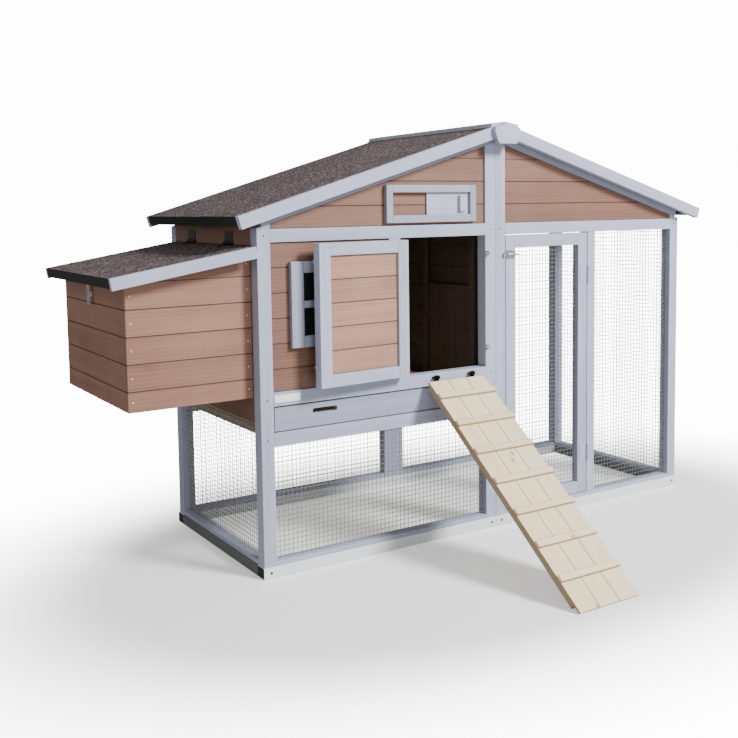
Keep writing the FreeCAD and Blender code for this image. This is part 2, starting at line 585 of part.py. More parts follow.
def make_run_door():
    """The run's wire door, hinged to the door post."""
    y = "0"
    z = f"({RAIL_TOP} + run_leaf_lift)"
    right = RUN_LEAF_RIGHT
    across = "(run_leaf_wide - 2 * run_stile)"
    frame = [box(x, y, z, "run_stile", "run_leaf_thick", "run_leaf_tall")
             for x in (RUN_LEAF_LEFT, f"{right} - run_stile")]
    frame += [box(f"{RUN_LEAF_LEFT} + run_stile", y, at, across, "run_leaf_thick", "run_stile")
              for at in (z, f"{z} + run_leaf_tall - run_stile")]
    part("run_door_frame", *frame)
    part("run_door_mesh", box(f"{RUN_LEAF_LEFT} + run_stile", "run_leaf_thick - 10",
                              f"{z} + run_stile", across, "mesh_thick", "run_leaf_tall - 2 * run_stile"))
    part("run_bolt_housing", bolt_housing(RUN_LEAF_LEFT, y, "run_bolt", -1, True))
    part("run_bolt", bolt_rod(RUN_LEAF_LEFT, y, "run_bolt", -1, True))


def butt_hinge(fixed_way, moving_way):
    """A hinge about its own z axis, both leaves on its +y side: fixed leaf, moving leaf and pin.

    A way is 1 or -1: the leaf runs along +x or -x from the barrel.
    """
    third = "(hinge_long / 3)"
    bore = rod("0", "0", "-1", "pin_r + pin_clear", "hinge_long + 2", "z", False)
    reach = "(knuckle_r + 2 * seat)"

    def leaf(way, spans):
        solids = [box(reach if way == 1 else "-leaf_wide", "hinge_stand - leaf_plate", "0",
                      f"leaf_wide - {reach}", "leaf_plate", "hinge_long", False)]
        for low, long in spans:
            solids.append(rod("0", "0", low, "knuckle_r", long, "z", False))
            solids.append(box("0" if way == 1 else f"-{reach}", "0", low, reach, "hinge_stand", long,
                              False))
        return cut(joined(solids), bore)

    fixed = leaf(fixed_way, [("0", f"{third} - seat"), (f"2 * {third} + seat", f"{third} - seat")])
    moving = leaf(moving_way, [(third, third)])
    pin = rod("0", "0", "0", "pin_r", "hinge_long", "z", False)
    return fixed, moving, pin


def make_hinges():
    """Two butt hinges on each door and on the nest lid. The pins stay with the fixed leaves."""
    fixed_all = []
    moving_all = {"coop": [], "run": [], "lid": []}
    coop_x = "doorway_left + gap / 2"
    coop_z = "(sill_top + coop_leaf_lift)"
    for up in ("coop_leaf_tall / 8", "coop_leaf_tall * 7 / 8 - hinge_long"):
        fixed, moving, pin = butt_hinge(-1, 1)
        for piece in (fixed, pin):
            place(piece, coop_x, "-hinge_stand", f"{coop_z} + {up}")
        fixed_all += [fixed, pin]
        turn(moving, ALONG_Z * -1, "coop_open_angle")
        place(moving, coop_x, "-hinge_stand", f"{coop_z} + {up}")
        moving_all["coop"].append(moving)
    run_x = f"{RUN_LEAF_RIGHT} + gap / 2"
    run_z = f"({RAIL_TOP} + run_leaf_lift)"
    for up in ("run_leaf_tall / 8", "run_leaf_tall * 7 / 8 - hinge_long"):
        fixed, moving, pin = butt_hinge(1, -1)
        for piece in (fixed, moving, pin):
            place(piece, run_x, "-hinge_stand", f"{run_z} + {up}")
        fixed_all += [fixed, pin]
        moving_all["run"].append(moving)
    part("coop_door_hinge_leaves", *moving_all["coop"])
    part("run_door_hinge_leaves", *moving_all["run"])
    part("fixed_hinge_leaves", *fixed_all, *lid_hinges(moving_all["lid"]))
    part("nest_lid_hinge_leaves", *moving_all["lid"])
    part("hasp_bracket", hasp_bracket())


def lid_hinges(moving_list):
    """The lid's hinges lie along y: the fixed leaf stands on the wall and the other lies on the felt."""
    third = "(hinge_long / 3)"
    axis_x = "-(leaf_plate + knuckle_r)"
    axis_z = "(lid_top + knuckle_r + lid_knuckle_up)"
    fixed_all = []
    for at in ("nest_front + nest_deep / 5", "nest_front + nest_deep * 4 / 5 - hinge_long"):
        bore = rod(axis_x, f"{at} - 1", axis_z, "pin_r + pin_clear", "hinge_long + 2", "y")
        solids = [box("-leaf_plate", at, axis_z, "leaf_plate", "hinge_long", "leaf_wide")]
        for low in ("0", f"2 * {third}"):
            solids.append(rod(axis_x, f"{at} + {low}", axis_z, "knuckle_r", third, "y"))
            solids.append(box(axis_x, f"{at} + {low}", axis_z, "knuckle_r + leaf_plate", third,
                              "knuckle_r"))
        gap_box = box(f"{axis_x} - knuckle_r - 1", f"{at} + {third} - seat / 2", f"{axis_z} - knuckle_r - 1",
                      "2 * knuckle_r + 1", f"{third} + seat", "knuckle_r * 2 + 2")
        fixed_all += [cut(joined(solids), gap_box, bore),
                      rod(axis_x, at, axis_z, "pin_r", "hinge_long", "y")]
        knuckle = rod(axis_x, f"{at} + {third} + seat / 2", axis_z, "knuckle_r", f"{third} - seat", "y")
        plate = box("0", "0", "0", "leaf_wide", f"{third} - seat", "leaf_plate")
        turn(plate, ALONG_Y * -1, "lid_angle")
        place(plate, f"{axis_x} - leaf_wide * cos(lid_angle)", f"{at} + {third} + seat / 2",
              f"lid_top + {axis_x} * tan(lid_angle) - leaf_wide * sin(lid_angle) + lid_leaf_up")
        moving_list.append(cut(joined([knuckle, plate]), bore))
    return fixed_all


def hasp_pivot():
    """Where the hasp's pin runs: just outside the nest's outer end, under the lid."""
    x = "(-(nest_reach + hasp_out))"
    z = "(lid_top - (nest_reach + hasp_out) * tan(lid_angle) - hasp_drop)"
    return x, z, "(nest_front + nest_deep / 2)"


def hasp_bracket():
    """Two ears and a pin under the lid, on which the hasp hangs."""
    x, z, middle = hasp_pivot()
    ears = [box(f"{x} - knuckle_r", f"{middle} + {y}", f"{z} - knuckle_r", "2 * knuckle_r", "ear_thick",
                "hasp_drop * 2") for y in ("-(hasp_wide / 2 + ear_thick + seat)", "(hasp_wide / 2 + seat)")]
    pin = rod(x, f"{middle} - hasp_wide / 2 - ear_thick", z, "pin_r", "hasp_wide + 2 * ear_thick", "y")
    over = box("0", "0", "0", "lid_reach * 2", "body_depth", "hasp_drop * 4")
    down = "(deck + felt)"
    turn(over, ALONG_Y * -1, "lid_angle")
    place(over, f"-lid_reach * cos(lid_angle) + {down} * sin(lid_angle)", "0",
          f"lid_top - lid_reach * sin(lid_angle) - {down} * cos(lid_angle)")
    return cut(joined(ears + [pin]), over)


def make_hasp():
    """The strap that hangs from the lid over the nest's outer end."""
    x, z, middle = hasp_pivot()
    y = f"{middle} - hasp_wide / 2"
    eye = rod(x, y, z, "knuckle_r", "hasp_wide", "y")
    strap = box(f"{x} - knuckle_r", y, f"{z} - hasp_long", "leaf_plate", "hasp_wide", "hasp_long")
    slot = box(f"{x} - 2 * knuckle_r", f"{middle} - hasp_slot_wide / 2", f"{z} - hasp_long * 3 / 4",
               "2 * knuckle_r", "hasp_slot_wide", "hasp_slot_tall")
    bore = rod(x, f"{y} - 1", z, "pin_r + pin_clear", "hasp_wide + 2", "y")
    part("nest_hasp", cut(joined([eye, strap]), slot, bore))


def make_keepers():
    """Keepers for the bolts, the hasp's staple and the two eyes that carry the ramp's hooks."""
    keepers = []
    out = "(bolt_stand + bolt_r + keeper_clear)"
    open_half = "(bolt_r + keeper_clear)"
    for x, z in ((f"{HOUSE_POST} + gap", "bolt_upper"), (f"{HOUSE_POST} + gap", "bolt_lower"),
                 (f"{RUN_IN} - gap - keeper_wide", "run_bolt")):
        for low in (f"{z} - keeper_tall / 2", f"{z} + {open_half}"):
            keepers.append(box(x, f"-{out}", low, "keeper_wide", out, f"keeper_tall / 2 - {open_half}"))
        keepers.append(box(x, f"-({out} + leaf_plate)", f"{z} - keeper_tall / 2", "keeper_wide",
                           "leaf_plate", "keeper_tall"))
    _, pivot_z, middle = hasp_pivot()
    staple = box("-(nest_reach + staple_out)", f"{middle} - ear_thick",
                 f"{pivot_z} - hasp_long * 3 / 4 + ear_thick", "staple_out", "2 * ear_thick",
                 "hasp_slot_tall - 2 * ear_thick")
    part("latch_keepers", *keepers, staple)
    eyes = []
    for x in ("ramp_left + ramp_hook_in", "ramp_left + ramp_wide - ramp_hook_in - ramp_hook_wide"):
        ears = [box(at, "-(ramp_eye_out + ramp_eye_r)", "ramp_eye_up - ramp_eye_r - 1", "ear_thick",
                    "ramp_eye_out + ramp_eye_r", "2 * ramp_eye_r + 2")
                for at in (f"{x} - 1 - ear_thick", f"{x} + ramp_hook_wide + 1")]
        bar = rod(f"{x} - 1", "-ramp_eye_out", "ramp_eye_up", "ramp_eye_r", "ramp_hook_wide + 2", "x")
        eyes += ears + [bar]
    part("ramp_eyes", *eyes)


def ramp_part(name, *pieces):
    """A piece of the ramp, made level (x across, -y down the ramp, z out of it) and tipped to its slope."""
    whole = several(list(pieces))
    turn(whole, ALONG_X, "ramp_angle")
    place(whole, "ramp_left", "-ramp_out", "ramp_top")
    part(name, whole)


def make_ramp():
    """Two stringers, boards laid down the ramp side by side, battens across them, and two hooks."""
    stringers = [box(x, "-(2 * gap + stringer_long)", "-(ramp_thick + stringer_deep)", "stringer_wide",
                     "stringer_long", "stringer_deep", False)
                 for x in ("stringer_in", "ramp_wide - stringer_in - stringer_wide")]
    ramp_part("ramp_stringers", *stringers)
    surface = [box(f"ramp_wide / ramp_boards * {n}", "-ramp_long", "-ramp_thick", "ramp_wide / ramp_boards",
                   "ramp_long", "ramp_thick", False) for n in range(SIZES["ramp_boards"])]
    surface += [box("0", f"-(batten_first + batten_pitch * {n})", "0", "ramp_wide", "batten_wide",
                    "batten_thick", False) for n in range(SIZES["batten_count"])]
    ramp_part("ramp_treads", *surface)
    out, rise = "(ramp_eye_out - ramp_out)", "(ramp_eye_up - ramp_top)"
    up = f"({out} * sin(ramp_angle) + {rise} * cos(ramp_angle))"
    back = f"(-{out} * cos(ramp_angle) + {rise} * sin(ramp_angle))"
    over = f"({up} + ramp_eye_r + seat)"
    behind = f"({back} + ramp_eye_r + seat)"
    low = "-(ramp_thick + ramp_hook_thick)"
    near = f"({back} - ramp_eye_r - seat - ramp_hook_thick)"
    thick = "ramp_hook_thick"
    hooks = []
    for x in ("ramp_hook_in", "ramp_wide - ramp_hook_in - ramp_hook_wide"):
        bent = [box(x, "-ramp_hook_tail", low, "ramp_hook_wide", f"ramp_hook_tail + {near} + {thick}",
                    thick, False),
                box(x, near, low, "ramp_hook_wide", thick, f"{over} + ramp_thick + 2 * {thick}", False),
                box(x, near, over, "ramp_hook_wide", f"{behind} + {thick} - {near}", thick, False),
                box(x, behind, f"{up} - ramp_eye_r", "ramp_hook_wide", thick,
                    f"2 * ramp_eye_r + seat + {thick}", False)]
        hooks.append(joined(bent))
    ramp_part("ramp_hooks", *hooks)


def make_tray():
    """The dropping tray: a front board with a finger slot, and a shallow pan on two runners."""
    z = f"({TRAY_RAIL_TOP} + gap)"
    board_z = "tray_space - 2 * gap"
    front = box("post + gap", "0", z, f"{HOUSE_POST} - post - 2 * gap", "tray_front_thick", board_z)
    slot_r = "(slot_tall / 2)"
    slot_z = f"({TRAY_RAIL_TOP} + tray_space / 2 + slot_tall * 3 / 4)"
    middle = box(f"slot_left + {slot_r}", "-1", f"{slot_z} - {slot_r}", "slot_long - slot_tall",
                 "tray_front_thick + 2", "slot_tall")
    rounds = [rod(x, "-1", slot_z, slot_r, "tray_front_thick + 2", "y")
              for x in (f"slot_left + {slot_r}", f"slot_left + slot_long - {slot_r}")]
    part("tray_front", cut(front, joined([middle] + rounds)))
    x = "(post + 4 * gap)"
    wide = f"({HOUSE_POST} - post - 8 * gap)"
    floor_z = f"({TRAY_RAIL_TOP} + seat)"
    wall_z = f"({floor_z} + tray_floor)"
    y = "tray_front_thick"
    pan = [box(x, y, floor_z, wide, TRAY_DEEP, "tray_floor"),
           box(x, y, wall_z, "tray_wall", TRAY_DEEP, "tray_wall_tall"),
           box(f"{x} + {wide} - tray_wall", y, wall_z, "tray_wall", TRAY_DEEP, "tray_wall_tall"),
           box(f"{x} + tray_wall", f"{y} + {TRAY_DEEP} - tray_wall", wall_z, f"{wide} - 2 * tray_wall",
               "tray_wall", "tray_wall_tall")]
    part("tray_pan", *pan)
    runners = [box(at, "timber", f"{TRAY_RAIL_TOP} - runner_tall", "runner_wide",
                   "body_depth - 2 * timber", "runner_tall")
               for at in ("post", f"{HOUSE_POST} - runner_wide")]
    part("tray_runners", *runners)


def make_label():
    """The blank label plate."""
    part("label_plate", box("label_left + gap", "-label_thick", "label_bottom", "label_wide - gap",
                            "label_thick", "label_tall"))


def finish():
    """Recompute, check every object and write each sub-part."""
    doc.recompute()
    for thing in doc.Objects:
        if any(word in thing.State for word in ("Invalid", "Error")):
            raise RuntimeError(f"{thing.Name} {thing.Label} {thing.State}")
    os.makedirs("parts", exist_ok=True)
    for piece in parts:
        shape = piece.Shape
        if shape.isNull() or not shape.isValid():
            raise RuntimeError(f"{piece.Label} has no valid shape")
        shape.exportStep(f"parts/{piece.Label}.step")
    print(f"{len(parts)} sub-parts written")


make_base()
make_posts()
make_rails()
make_roof()
make_walls()
make_partition()
make_meshes()
make_window()
make_vent()
make_nest()
make_lid()
make_coop_door()
make_run_door()
make_hinges()
make_hasp()
make_keepers()
make_ramp()
make_tray()
make_label()
finish()
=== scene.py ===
import json
import math
import bmesh
import bpy
import numpy as np
from mathutils import Matrix, Vector


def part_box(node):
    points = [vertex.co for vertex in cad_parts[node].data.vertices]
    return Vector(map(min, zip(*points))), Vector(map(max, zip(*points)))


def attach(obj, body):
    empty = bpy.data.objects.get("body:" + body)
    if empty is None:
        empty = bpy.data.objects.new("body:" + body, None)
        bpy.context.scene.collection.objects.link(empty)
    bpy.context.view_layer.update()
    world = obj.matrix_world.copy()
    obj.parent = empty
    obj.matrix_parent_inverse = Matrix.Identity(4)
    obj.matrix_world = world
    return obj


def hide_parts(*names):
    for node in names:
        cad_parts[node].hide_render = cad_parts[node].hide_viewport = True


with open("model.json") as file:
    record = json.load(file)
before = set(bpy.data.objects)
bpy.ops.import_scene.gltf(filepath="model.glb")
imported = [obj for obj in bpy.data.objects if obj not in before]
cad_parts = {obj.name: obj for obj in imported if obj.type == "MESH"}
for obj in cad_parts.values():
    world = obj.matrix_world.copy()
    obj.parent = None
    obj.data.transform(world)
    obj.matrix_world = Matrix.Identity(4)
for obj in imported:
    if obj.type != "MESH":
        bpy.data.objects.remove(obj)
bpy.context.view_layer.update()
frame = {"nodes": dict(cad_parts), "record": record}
nodes = frame["nodes"]
record = frame["record"]
bodyOf = {node: body for body, names in record["behaviour"]["bodies"].items() for node in names}
slotOf = {entry["node"]: entry["material_slot"] for entry in record["subparts"]}
chance = np.random.default_rng(11)
print("frame loaded:", len(nodes), "nodes")


# shader maths
class Value:
    # a node's output socket; arithmetic on it adds Math nodes to the same tree
    def __init__(self, shade, socket):
        self.shade, self.socket = shade, socket

    def mathNode(self, operation, first, second=0.0):
        return self.shade.node("ShaderNodeMath", {"operation": operation}, {0: first, 1: second})

    def __add__(self, other): return self.mathNode("ADD", self, other)
    def __radd__(self, other): return self.mathNode("ADD", other, self)
    def __sub__(self, other): return self.mathNode("SUBTRACT", self, other)
    def __rsub__(self, other): return self.mathNode("SUBTRACT", other, self)
    def __mul__(self, other): return self.mathNode("MULTIPLY", self, other)
    def __rmul__(self, other): return self.mathNode("MULTIPLY", other, self)
    def __gt__(self, other): return self.mathNode("GREATER_THAN", self, other)

    def step(self, low, high):
        # 0 below low, 1 above high, smooth between
        return self.shade.node("ShaderNodeMapRange", {"interpolation_type": "SMOOTHSTEP"},
                               {"Value": self, "From Min": low, "From Max": high})


class Shade:
    # one material and the way its nodes are made
    def __init__(self, name):
        self.material = bpy.data.materials.new(name)
        self.material.use_nodes = True
        self.tree = self.material.node_tree
        self.shader = self.tree.nodes["Principled BSDF"]

    def node(self, kind, settings=None, sockets=None, out=0):
        made = self.tree.nodes.new(kind)
        for key, setting in (settings or {}).items():
            if key == "stops":
                ramp = made.color_ramp
                while len(ramp.elements) < len(setting):
                    ramp.elements.new(0.5)
                for element, (at, tint) in zip(ramp.elements, setting):
                    element.position, element.color = at, (*tint, 1.0)
            else:
                setattr(made, key, setting)
        for key, given in (sockets or {}).items():
            self.feed(made.inputs[key], given)
        return Value(self, made.outputs[out])

    def feed(self, socket, given):
        if isinstance(given, Value):
            self.tree.links.new(given.socket, socket)
        elif isinstance(given, (tuple, list)) and len(given) == 3 and socket.type == "RGBA":
            socket.default_value = (*given, 1.0)
        else:
            socket.default_value = given

    def mix(self, share, first, second, blend="MIX"):
        return self.node("ShaderNodeMix", {"data_type": "RGBA", "blend_type": blend},
                         {0: share, 6: first, 7: second}, out=2)

    def scaled(self, vector, by):
        return self.node("ShaderNodeVectorMath", {"operation": "MULTIPLY"}, {0: vector, 1: by})

    def noise(self, vector, scale, detail=3.0):
        return self.node("ShaderNodeTexNoise", None, {"Vector": vector, "Scale": scale, "Detail": detail,
                                                      "Roughness": 0.55})

    def attribute(self, name, out):
        return self.node("ShaderNodeAttribute", {"attribute_name": name}, out=out)

    def objectPlace(self):
        return self.node("ShaderNodeTexCoord", out="Object")

    def bump(self, height, strength, depth):
        return self.node("ShaderNodeBump", None, {"Height": height, "Strength": strength,
                                                  "Distance": depth})

    def finish(self, **sockets):
        for key, given in sockets.items():
            name = {"color": "Base Color", "rough": "Roughness", "metal": "Metallic", "normal": "Normal",
                    "alpha": "Alpha"}[key]
            self.feed(self.shader.inputs[name], given)
        return self.material


grainPlan = {"knotCells": (2.6, 11.0, 11.0), "knotReach": (0.55, 1.0), "knotBend": 0.011,
             "broad": (1.3, 34.0, 30.0), "fine": (7.0, 420.0, 420.0), "rings": (2.2, 60.0, 40.0),
             "ringScale": 0.55, "ringBend": 5.5, "cloudScale": 5.0, "seamStart": 0.0006, "seamShare": 0.82,
             "roughSpread": 0.18, "bumpDepth": 0.0012}


def woodFinish(name, look):
    # streaks drawn out along the grain, growth lines, knots that bend the grain, and a tone per board
    shade = Shade(name)
    place = shade.attribute("grainPlace", "Vector")
    tone = shade.attribute("tone", "Fac")
    stretch = grainPlan["knotCells"]
    cell = shade.scaled(place, stretch)
    knots = {"voronoi_dimensions": "2D", "feature": "F1"}
    knotCentre = shade.node("ShaderNodeTexVoronoi", knots, {"Vector": cell, "Scale": 1.0}, out="Position")
    knotPick = shade.node("ShaderNodeTexVoronoi", knots, {"Vector": cell, "Scale": 1.0}, out="Color")
    away = shade.node("ShaderNodeVectorMath", {"operation": "SUBTRACT"}, {0: cell, 1: knotCentre})
    knotLong, knotWide = grainPlan["knotReach"]
    away = shade.scaled(away, (knotLong / stretch[0], knotWide / stretch[1], 0.0))
    reach = shade.node("ShaderNodeVectorMath", {"operation": "LENGTH"}, {0: away}, out="Value")
    present = shade.node("ShaderNodeSeparateColor", None, {0: knotPick}) > (1 - look["knots"])
    knot = (1 - reach.step(look["knotSize"] * 0.35, look["knotSize"])) * present
    halo = (1 - reach.step(look["knotSize"] * 0.8, look["knotSize"] * 3.2)) * present
    sideways = shade.node("ShaderNodeCombineXYZ", None, {"Y": halo * grainPlan["knotBend"]})
    bent = shade.node("ShaderNodeVectorMath", {"operation": "ADD"}, {0: place, 1: sideways})
    broad = shade.noise(shade.scaled(bent, grainPlan["broad"]), 1.0, 3.0)
    fine = shade.noise(shade.scaled(bent, grainPlan["fine"]), 1.0, 2.0)
    rings = shade.node("ShaderNodeTexWave", {"bands_direction": "Y", "wave_profile": "SIN"},
                       {"Vector": shade.scaled(bent, grainPlan["rings"]), "Scale": grainPlan["ringScale"],
                        "Distortion": grainPlan["ringBend"], "Detail": 2.0, "Detail Scale": 0.7}, out="Fac")
    streak = broad * 0.62 + fine * 0.16 + rings * look["rings"]
    tint = shade.node("ShaderNodeValToRGB", {"stops": [(0.22, look["deep"]), (0.5, look["middle"]),
                                                        (0.8, look["pale"])]}, {0: streak})
    tint = shade.mix(knot * 0.85, tint, look["knotTint"])
    tint = shade.mix(halo * 0.22, tint, look["deep"])
    cloud = shade.noise(shade.objectPlace(), grainPlan["cloudScale"])
    tint = shade.mix(cloud.step(0.35, 0.75) * look["cloud"], tint, look["wash"])
    warm = tone.mathNode("FRACT", tone * 7.3)
    tint = shade.mix(warm * look["warm"], tint, look["wash"])
    tint = shade.mix(look["tone"], tint, shade.node("ShaderNodeValToRGB",
                     {"stops": [(0.0, (0.50, 0.50, 0.50)), (1.0, (1.0, 1.0, 1.0))]}, {0: tone}), "MULTIPLY")
    if look["seam"]:
        edge = shade.node("ShaderNodeSeparateXYZ", None, {0: shade.attribute("boardEdge", "Vector")})
        half = Value(shade, edge.socket.node.outputs[1])
        fromEdge = half - edge.mathNode("ABSOLUTE", edge)
        seam = 1 - fromEdge.step(grainPlan["seamStart"], look["seam"])
        tint = shade.mix(seam * grainPlan["seamShare"], tint, look["seamTint"])
    height = fine * 0.6 + rings * 0.25 + knot * 0.35
    return shade.finish(color=tint, rough=look["rough"] + streak * grainPlan["roughSpread"],
                        normal=shade.bump(height, look["bump"], grainPlan["bumpDepth"]))


woodLooks = {
    "grey_timber": {"deep": (0.335, 0.365, 0.480), "middle": (0.43, 0.465, 0.60), "pale": (0.51, 0.545, 0.68),
                    "knotTint": (0.30, 0.28, 0.30), "wash": (0.56, 0.59, 0.70), "warm": 0.15, "knots": 0.10,
                    "knotSize": 0.006, "rings": 0.07, "cloud": 0.30, "tone": 0.16, "rough": 0.52,
                    "bump": 0.22, "seam": 0.0},
    "brown_boards": {"deep": (0.178, 0.086, 0.054), "middle": (0.290, 0.153, 0.102),
                     "pale": (0.375, 0.222, 0.155), "knotTint": (0.13, 0.062, 0.036),
                     "wash": (0.385, 0.228, 0.155), "warm": 0.30, "knots": 0.42, "knotSize": 0.009,
                     "rings": 0.10,
                     "cloud": 0.45, "tone": 0.26, "rough": 0.55, "bump": 0.30, "seam": 0.0026,
                     "seamTint": (0.05, 0.024, 0.014)},
    "dark_timber": {"deep": (0.045, 0.031, 0.023), "middle": (0.070, 0.048, 0.036),
                    "pale": (0.095, 0.066, 0.050), "knotTint": (0.03, 0.02, 0.014),
                    "wash": (0.08, 0.06, 0.045), "warm": 0.2, "knots": 0.34, "knotSize": 0.008,
                    "rings": 0.12, "cloud": 0.3, "tone": 0.25,
                    "rough": 0.6, "bump": 0.3, "seam": 0.0020, "seamTint": (0.02, 0.01, 0.007)},
    "roof_board": {"deep": (0.26, 0.175, 0.11), "middle": (0.38, 0.27, 0.175), "pale": (0.46, 0.34, 0.23),
                   "knotTint": (0.17, 0.10, 0.06), "wash": (0.40, 0.30, 0.20), "warm": 0.2, "knots": 0.4,
                   "knotSize": 0.009, "rings": 0.12, "cloud": 0.3, "tone": 0.2, "rough": 0.6, "bump": 0.3,
                   "seam": 0.0018, "seamTint": (0.08, 0.05, 0.03)},
    "pine": {"deep": (0.76, 0.56, 0.28), "middle": (0.90, 0.75, 0.46), "pale": (0.96, 0.85, 0.60),
             "knotTint": (0.27, 0.13, 0.055), "wash": (0.90, 0.81, 0.62), "warm": 0.3, "knots": 0.42,
             "knotSize": 0.0075, "rings": 0.12, "cloud": 0.25, "tone": 0.10, "rough": 0.5, "bump": 0.22,
             "seam": 0.0022, "seamTint": (0.34, 0.23, 0.12)},
}


grains = {"scale": 290.0, "grit": 620.0, "bitumen": (0.012, 0.011, 0.012), "rough": 0.94, "bump": 0.55,
          "tints": [(0.0, (0.012, 0.008, 0.008)), (0.35, (0.050, 0.028, 0.027)),
                    (0.7, (0.105, 0.066, 0.066)), (1.0, (0.42, 0.34, 0.34))]}


def feltFinish(name):
    # crushed mineral grains of three colours in bitumen; the bare cut edge is black
    shade = Shade(name)
    place = shade.objectPlace()
    edge = shade.attribute("tone", "Fac")
    grain = shade.node("ShaderNodeTexVoronoi", {"feature": "F1"}, {"Vector": place, "Scale": grains["scale"]},
                       out="Color")
    pick = shade.node("ShaderNodeSeparateColor", None, {0: grain})
    tint = shade.node("ShaderNodeValToRGB", {"stops": grains["tints"]}, {0: pick})
    patches = shade.noise(place, 7.0, 4.0)
    tint = shade.mix(patches.step(0.35, 0.7) * 0.35, tint, (0.060, 0.040, 0.042))
    tint = shade.mix(edge, tint, grains["bitumen"])
    grit = shade.noise(place, grains["grit"], 2.0)
    return shade.finish(color=tint, rough=grains["rough"],
                        normal=shade.bump(grit * 0.7 + pick * 0.5, grains["bump"], 0.0012))


def metalFinish(name, color, rough, spangle):
    # zinc: faint spangle in the colour and the roughness, and fine scuffs
    shade = Shade(name)
    place = shade.objectPlace()
    cells = shade.node("ShaderNodeTexVoronoi", {"feature": "F1"}, {"Vector": place, "Scale": spangle},
                       out="Color")
    pick = shade.node("ShaderNodeSeparateColor", None, {0: cells})
    scuff = shade.noise(place, 900.0, 2.0)
    tint = shade.mix(pick * 0.35, color, tuple(part * 0.7 for part in color))
    # faces marked blacked turn near black; on some parts this is painted shade
    tint = shade.mix(shade.attribute("blacked", "Fac"), tint, (0.030, 0.027, 0.026))
    return shade.finish(color=tint, metal=1.0, rough=rough + pick * 0.12,
                        normal=shade.bump(scuff, 0.08, 0.0004))


def plasticFinish(name, color, rough, variation):
    # a coat of paint or plastic: slow cloudiness and a very fine orange peel
    shade = Shade(name)
    place = shade.objectPlace()
    cloud = shade.noise(place, 9.0, 4.0)
    fine = shade.noise(place, 260.0, 2.0)
    tint = shade.mix(cloud.step(0.3, 0.75) * variation, color, tuple(part * 0.72 for part in color))
    # faces marked blacked turn near black; on some parts this is painted shade
    tint = shade.mix(shade.attribute("blacked", "Fac"), tint, (0.020, 0.017, 0.016))
    return shade.finish(color=tint, rough=rough + fine * 0.12, normal=shade.bump(fine, 0.06, 0.0006))


def paneFinish(name):
    # a clear pane made near black and mostly opaque: painted shade of the dark house inside, with a faint
    # haze
    shade = Shade(name)
    haze = shade.noise(shade.objectPlace(), 40.0, 3.0)
    return shade.finish(color=(0.014, 0.015, 0.017), alpha=0.78 + haze * 0.10, rough=0.14)


def shadedLook(slot, by, **changes):
    # the same timber made darker or paler: one share, or one each for red, green and blue; some darker copies
    # are painted shade
    look = dict(woodLooks[slot])
    shares = by if isinstance(by, tuple) else (by, by, by)
    for key in ("deep", "middle", "pale", "wash"):
        look[key] = tuple(min(part * share, 0.98) for part, share in zip(look[key], shares))
    look.update(changes)
    return look


finishes = {slot: woodFinish(slot, look) for slot, look in woodLooks.items()}
finishes["door_boards"] = woodFinish("door_boards", shadedLook("brown_boards", 1.32))
finishes["nest_boards"] = woodFinish("nest_boards", shadedLook("brown_boards", (1.00, 0.92, 0.92)))
# the wall and gable boards' darker copy is painted shade from the roof overhang, with a slightly redder tint
finishes["wall_boards"] = woodFinish("wall_boards", shadedLook("brown_boards", (0.76, 0.69, 0.69)))
finishes["vent_grey"] = woodFinish("vent_grey", shadedLook("grey_timber", 0.78))
# grey_shaded is painted shade on the rafters under the eaves; the window frame takes the same darker grey
finishes["grey_shaded"] = woodFinish("grey_shaded", shadedLook("grey_timber", 0.76))
# the tray front's near-black edge bands are painted shade of the gap round it
finishes["tray_grey"] = woodFinish("tray_grey", shadedLook("grey_timber", 0.76, seam=0.0026,
                                                           seamTint=(0.03, 0.03, 0.035)))
finishes["pop_board"] = finishes["dark_timber"]
finishes["mineral_felt"] = feltFinish("mineral_felt")
finishes["zinc_hardware"] = metalFinish("zinc_hardware", (0.70, 0.71, 0.72), 0.26, 260.0)
finishes["welded_wire"] = metalFinish("welded_wire", (0.42, 0.44, 0.43), 0.45, 120.0)
finishes["screw_dark"] = metalFinish("screw_dark", (0.10, 0.095, 0.09), 0.45, 400.0)
finishes["filler"] = plasticFinish("filler", (0.80, 0.62, 0.46), 0.6, 0.2)
finishes["ground_strip"] = plasticFinish("ground_strip", (0.90, 0.93, 0.97), 0.34, 0.30)
finishes["ridge_grey"] = plasticFinish("ridge_grey", (0.52, 0.55, 0.63), 0.5, 0.2)
finishes["painted_steel"] = plasticFinish("painted_steel", (0.42, 0.455, 0.57), 0.38, 0.15)
finishes["ridge_plate"] = plasticFinish("ridge_plate", (0.58, 0.61, 0.70), 0.4, 0.15)
finishes["label"] = plasticFinish("label", (0.94, 0.97, 0.99), 0.35, 0.05)
# the end strips are the same pale strip as the long ones; their near-black colour is painted shade
finishes["end_strip_painted_shade"] = plasticFinish("end_strip_painted_shade", (0.15, 0.16, 0.15), 0.5, 0.4)
finishes["clear_pane"] = paneFinish("clear_pane")
print("finishes made:", len(finishes))


